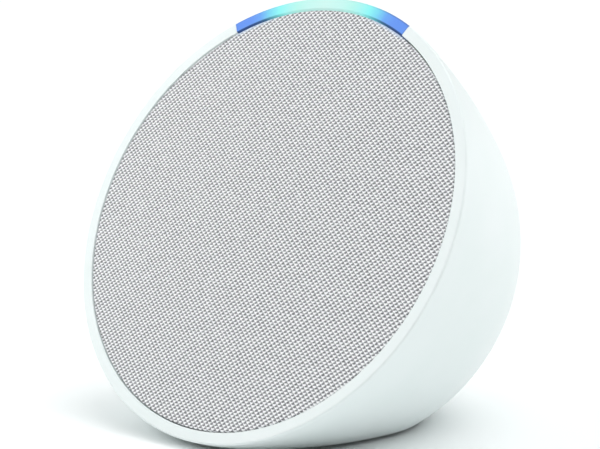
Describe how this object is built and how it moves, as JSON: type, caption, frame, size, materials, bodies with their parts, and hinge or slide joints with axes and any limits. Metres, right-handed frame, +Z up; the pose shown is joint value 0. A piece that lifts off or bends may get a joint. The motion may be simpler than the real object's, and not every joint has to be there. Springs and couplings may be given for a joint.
{
  "type": "smart speaker",
  "caption": "Compact half-round smart speaker: smooth dome shell, tilted flat fabric face, light bar in the top of the rim, press buttons behind it and a rear power inlet.",
  "frame": {"origin": "centre of the object's bounding box, on the table plane under the foot", "axes": "+Z up; -Y to the front, the way the tilted fabric face looks; +X to the right seen from the front, along the object's width"},
  "size_m": [0.099, 0.0829, 0.0908],
  "materials": {
    "shell_white": "satin white moulded plastic",
    "light_diffuser": "frosted translucent plastic, lit cyan to blue",
    "button_white": "satin white plastic",
    "grille_plastic": "grey moulded plastic",
    "grille_cloth": "pale grey plain-woven cloth",
    "black_plastic": "black moulded plastic",
    "foot_rubber": "grey silicone rubber",
    "white_plastic": "white plastic",
    "circuit_board": "green solder mask",
    "screw_steel": "zinc-plated steel",
    "basket_steel": "black coated pressed steel",
    "magnet_ferrite": "dark sintered magnet",
    "pole_steel": "plated steel",
    "cone_poly": "dark polypropylene",
    "copper_wire": "enamelled copper winding",
    "soft_rubber": "soft black rubber",
    "spider_cloth": "resin-treated cloth",
    "foam": "closed-cell foam",
    "terminal_tin": "tinned metal",
    "heat_aluminium": "plain aluminium sheet",
    "thermal_grey": "soft grey gap filler",
    "chip_epoxy": "black epoxy",
    "flat_cable": "white flat cable",
    "contact_metal": "plated contact"
  },
  "bodies": {
    "speaker": {"rear_shell": "shell_white", "light_bar": "light_diffuser", "grille_frame": "grille_plastic", "grille_fabric": "grille_cloth", "front_chassis": "black_plastic", "enclosure_cup": "black_plastic", "inlet_housing": "black_plastic", "board_connectors": "black_plastic", "foot_pad": "foot_rubber", "light_reflector": "white_plastic", "leds": "white_plastic", "led_board": "circuit_board", "button_board": "circuit_board", "main_board": "circuit_board", "led_board_screws": "screw_steel", "chassis_screws": "screw_steel", "driver_screws": "screw_steel", "enclosure_screws": "screw_steel", "button_board_screws": "screw_steel", "main_board_screws": "screw_steel", "driver_basket": "basket_steel", "driver_magnet": "magnet_ferrite", "driver_top_plate": "pole_steel", "driver_yoke": "pole_steel", "driver_surround": "soft_rubber", "wire_grommet": "soft_rubber", "mic_gaskets": "soft_rubber", "speaker_wires": "soft_rubber", "driver_spider": "spider_cloth", "driver_gasket": "foam", "enclosure_gasket": "foam", "driver_terminals": "terminal_tin", "shield_can": "terminal_tin", "wifi_antennas": "terminal_tin", "switch_cans": "terminal_tin", "microphones": "terminal_tin", "heat_spreader": "heat_aluminium", "capacitors": "heat_aluminium", "thermal_pad": "thermal_grey", "processor_chips": "chip_epoxy", "ribbon_cable": "flat_cable", "inlet_pin": "contact_metal"},
    "volume_down_button": {"button_volume_down": "button_white", "switch_plunger_volume_down": "chip_epoxy"},
    "mic_off_button": {"button_mic_off": "button_white", "switch_plunger_mic_off": "chip_epoxy"},
    "volume_up_button": {"button_volume_up": "button_white", "switch_plunger_volume_up": "chip_epoxy"},
    "cone": {"driver_cone": "cone_poly", "driver_dust_cap": "cone_poly", "coil_former": "cone_poly", "coil_winding": "copper_wire"}
  },
  "joints": [
    {"name": "volume_down_press", "type": "slide", "parent": "speaker", "child": "volume_down_button", "axis": [0, -0.6204, -0.7843], "range_m": [0, 0.00035], "stiffness_N_per_m": 5000},
    {"name": "mic_off_press", "type": "slide", "parent": "speaker", "child": "mic_off_button", "axis": [0, -0.6204, -0.7843], "range_m": [0, 0.00035], "stiffness_N_per_m": 5000},
    {"name": "volume_up_press", "type": "slide", "parent": "speaker", "child": "volume_up_button", "axis": [0, -0.6204, -0.7843], "range_m": [0, 0.00035], "stiffness_N_per_m": 5000},
    {"name": "cone_travel", "type": "slide", "parent": "speaker", "child": "cone", "axis": [0, -0.8988, 0.4384], "range_m": [-0.0015, 0.0015], "stiffness_N_per_m": 1500, "deforming": ["driver_surround", "driver_spider"]}
  ]
}
